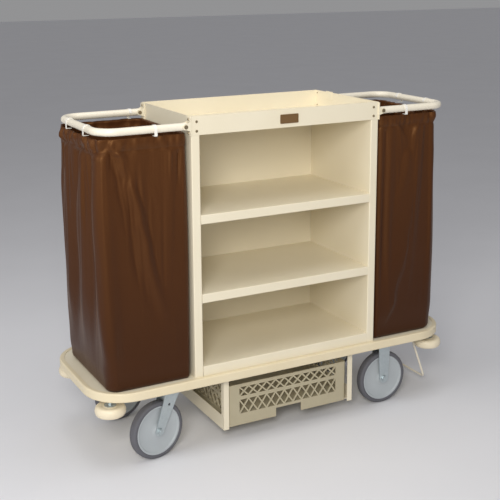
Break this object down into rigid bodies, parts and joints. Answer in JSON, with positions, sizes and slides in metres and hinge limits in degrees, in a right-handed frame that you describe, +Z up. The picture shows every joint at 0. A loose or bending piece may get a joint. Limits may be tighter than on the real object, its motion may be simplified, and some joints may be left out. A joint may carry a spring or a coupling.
{
  "type": "housekeeping cart",
  "caption": "Housekeeping cart: open steel cabinet with shelves and a top tray, a bag in a folding hoop at each end, swivel and fixed casters, corner rollers and a pull-out crate.",
  "frame": {"origin": "on the floor, under the middle of the platform", "axes": "+Z up, +X along the cart towards the fixed-wheel end, -Y towards the cabinet's open front"},
  "size_m": [1.43, 0.516, 1.174],
  "materials": {
    "cream_paint": "powder coat, satin",
    "bumper": "moulded vinyl, satin",
    "bag": "coated nylon, light sheen",
    "hook": "smooth",
    "zinc": "bright zinc plate",
    "screw": "coated to match",
    "hub": "moulded nylon, satin",
    "tyre": "non-marking rubber",
    "crate": "moulded, slightly textured",
    "name_plate": "smooth"
  },
  "bodies": {
    "cart": {"base_deck": "cream_paint", "bumper_rail": "bumper", "deck_cross_members": "cream_paint", "side_panel_left": "cream_paint", "side_panel_right": "cream_paint", "back_panel": "cream_paint", "front_header": "cream_paint", "top_tray": "cream_paint", "shelf_upper": "cream_paint", "shelf_lower": "cream_paint", "bay_floor": "cream_paint", "name_plate": "name_plate", "header_screws": "screw", "rim_clip": "cream_paint", "hinge_bracket_left_front": "cream_paint", "hinge_bracket_left_rear": "cream_paint", "hinge_bracket_right_front": "cream_paint", "hinge_bracket_right_rear": "cream_paint", "bracket_screws": "screw", "hinge_pins_left": "screw", "hinge_pins_right": "screw", "bag_left": "bag", "bag_right": "bag", "caster_plate_left_front": "zinc", "caster_plate_left_rear": "zinc", "caster_fork_right_front": "zinc", "caster_fork_right_rear": "zinc", "axle_right_front": "zinc", "axle_right_rear": "zinc", "swivel_races": "zinc", "kingpins": "zinc", "caster_bolts": "zinc", "roller_stems": "zinc", "rack_posts": "cream_paint", "rack_rail_left": "cream_paint", "rack_rail_right": "cream_paint", "rack_stop": "cream_paint", "bail_clips": "hook"},
    "hoop_left": {"hoop_left": "cream_paint", "bag_hooks_left": "hook"},
    "hoop_right": {"hoop_right": "cream_paint", "bag_hooks_right": "hook"},
    "swivel_left_front": {"caster_fork_left_front": "zinc", "axle_left_front": "zinc"},
    "swivel_left_rear": {"caster_fork_left_rear": "zinc", "axle_left_rear": "zinc"},
    "wheel_left_front": {"wheel_hub_left_front": "hub", "tyre_left_front": "tyre"},
    "wheel_left_rear": {"wheel_hub_left_rear": "hub", "tyre_left_rear": "tyre"},
    "wheel_right_front": {"wheel_hub_right_front": "hub", "tyre_right_front": "tyre"},
    "wheel_right_rear": {"wheel_hub_right_rear": "hub", "tyre_right_rear": "tyre"},
    "roller_left_front": {"corner_roller_left_front": "bumper"},
    "roller_left_rear": {"corner_roller_left_rear": "bumper"},
    "roller_right_front": {"corner_roller_right_front": "bumper"},
    "roller_right_rear": {"corner_roller_right_rear": "bumper"},
    "crate": {"crate": "crate"},
    "end_bail": {"end_bail": "cream_paint"}
  },
  "joints": [
    {"name": "hoop_left_fold", "type": "hinge", "parent": "cart", "child": "hoop_left", "pos_m": [-0.381, -0.034, 1.1385], "axis": [0, 1, 0], "range_deg": [0, 90]},
    {"name": "hoop_right_fold", "type": "hinge", "parent": "cart", "child": "hoop_right", "pos_m": [0.381, -0.034, 1.1385], "axis": [0, -1, 0], "range_deg": [0, 90]},
    {"name": "swivel_left_front", "type": "hinge", "parent": "cart", "child": "swivel_left_front", "pos_m": [-0.446, -0.175, 0.2408], "axis": [0, 0, 1], "continuous": true},
    {"name": "wheel_left_front_roll", "type": "hinge", "parent": "swivel_left_front", "child": "wheel_left_front", "pos_m": [-0.48513, -0.18332, 0.1016], "axis": [-0.2079, 0.9781, 0], "continuous": true},
    {"name": "wheel_right_front_roll", "type": "hinge", "parent": "cart", "child": "wheel_right_front", "pos_m": [0.446, -0.175, 0.1016], "axis": [0, 1, 0], "continuous": true},
    {"name": "swivel_left_rear", "type": "hinge", "parent": "cart", "child": "swivel_left_rear", "pos_m": [-0.446, 0.175, 0.2408], "axis": [0, 0, 1], "continuous": true},
    {"name": "wheel_left_rear_roll", "type": "hinge", "parent": "swivel_left_rear", "child": "wheel_left_rear", "pos_m": [-0.48513, 0.16668, 0.1016], "axis": [-0.2079, 0.9781, 0], "continuous": true},
    {"name": "wheel_right_rear_roll", "type": "hinge", "parent": "cart", "child": "wheel_right_rear", "pos_m": [0.446, 0.175, 0.1016], "axis": [0, 1, 0], "continuous": true},
    {"name": "roller_left_front_spin", "type": "hinge", "parent": "cart", "child": "roller_left_front", "pos_m": [-0.6495, -0.1925, 0.2125], "axis": [0, 0, 1], "continuous": true},
    {"name": "roller_left_rear_spin", "type": "hinge", "parent": "cart", "child": "roller_left_rear", "pos_m": [-0.6495, 0.1925, 0.2125], "axis": [0, 0, 1], "continuous": true},
    {"name": "roller_right_front_spin", "type": "hinge", "parent": "cart", "child": "roller_right_front", "pos_m": [0.6495, -0.1925, 0.2125], "axis": [0, 0, 1], "continuous": true},
    {"name": "roller_right_rear_spin", "type": "hinge", "parent": "cart", "child": "roller_right_rear", "pos_m": [0.6495, 0.1925, 0.2125], "axis": [0, 0, 1], "continuous": true},
    {"name": "crate_slide", "type": "slide", "parent": "cart", "child": "crate", "axis": [0, -1, 0], "range_m": [0, 0.3]},
    {"name": "end_bail_swing", "type": "hinge", "parent": "cart", "child": "end_bail", "pos_m": [0.613, 0, 0.238], "axis": [0, -1, 0], "range_deg": [-20.6, 69]}
  ]
}
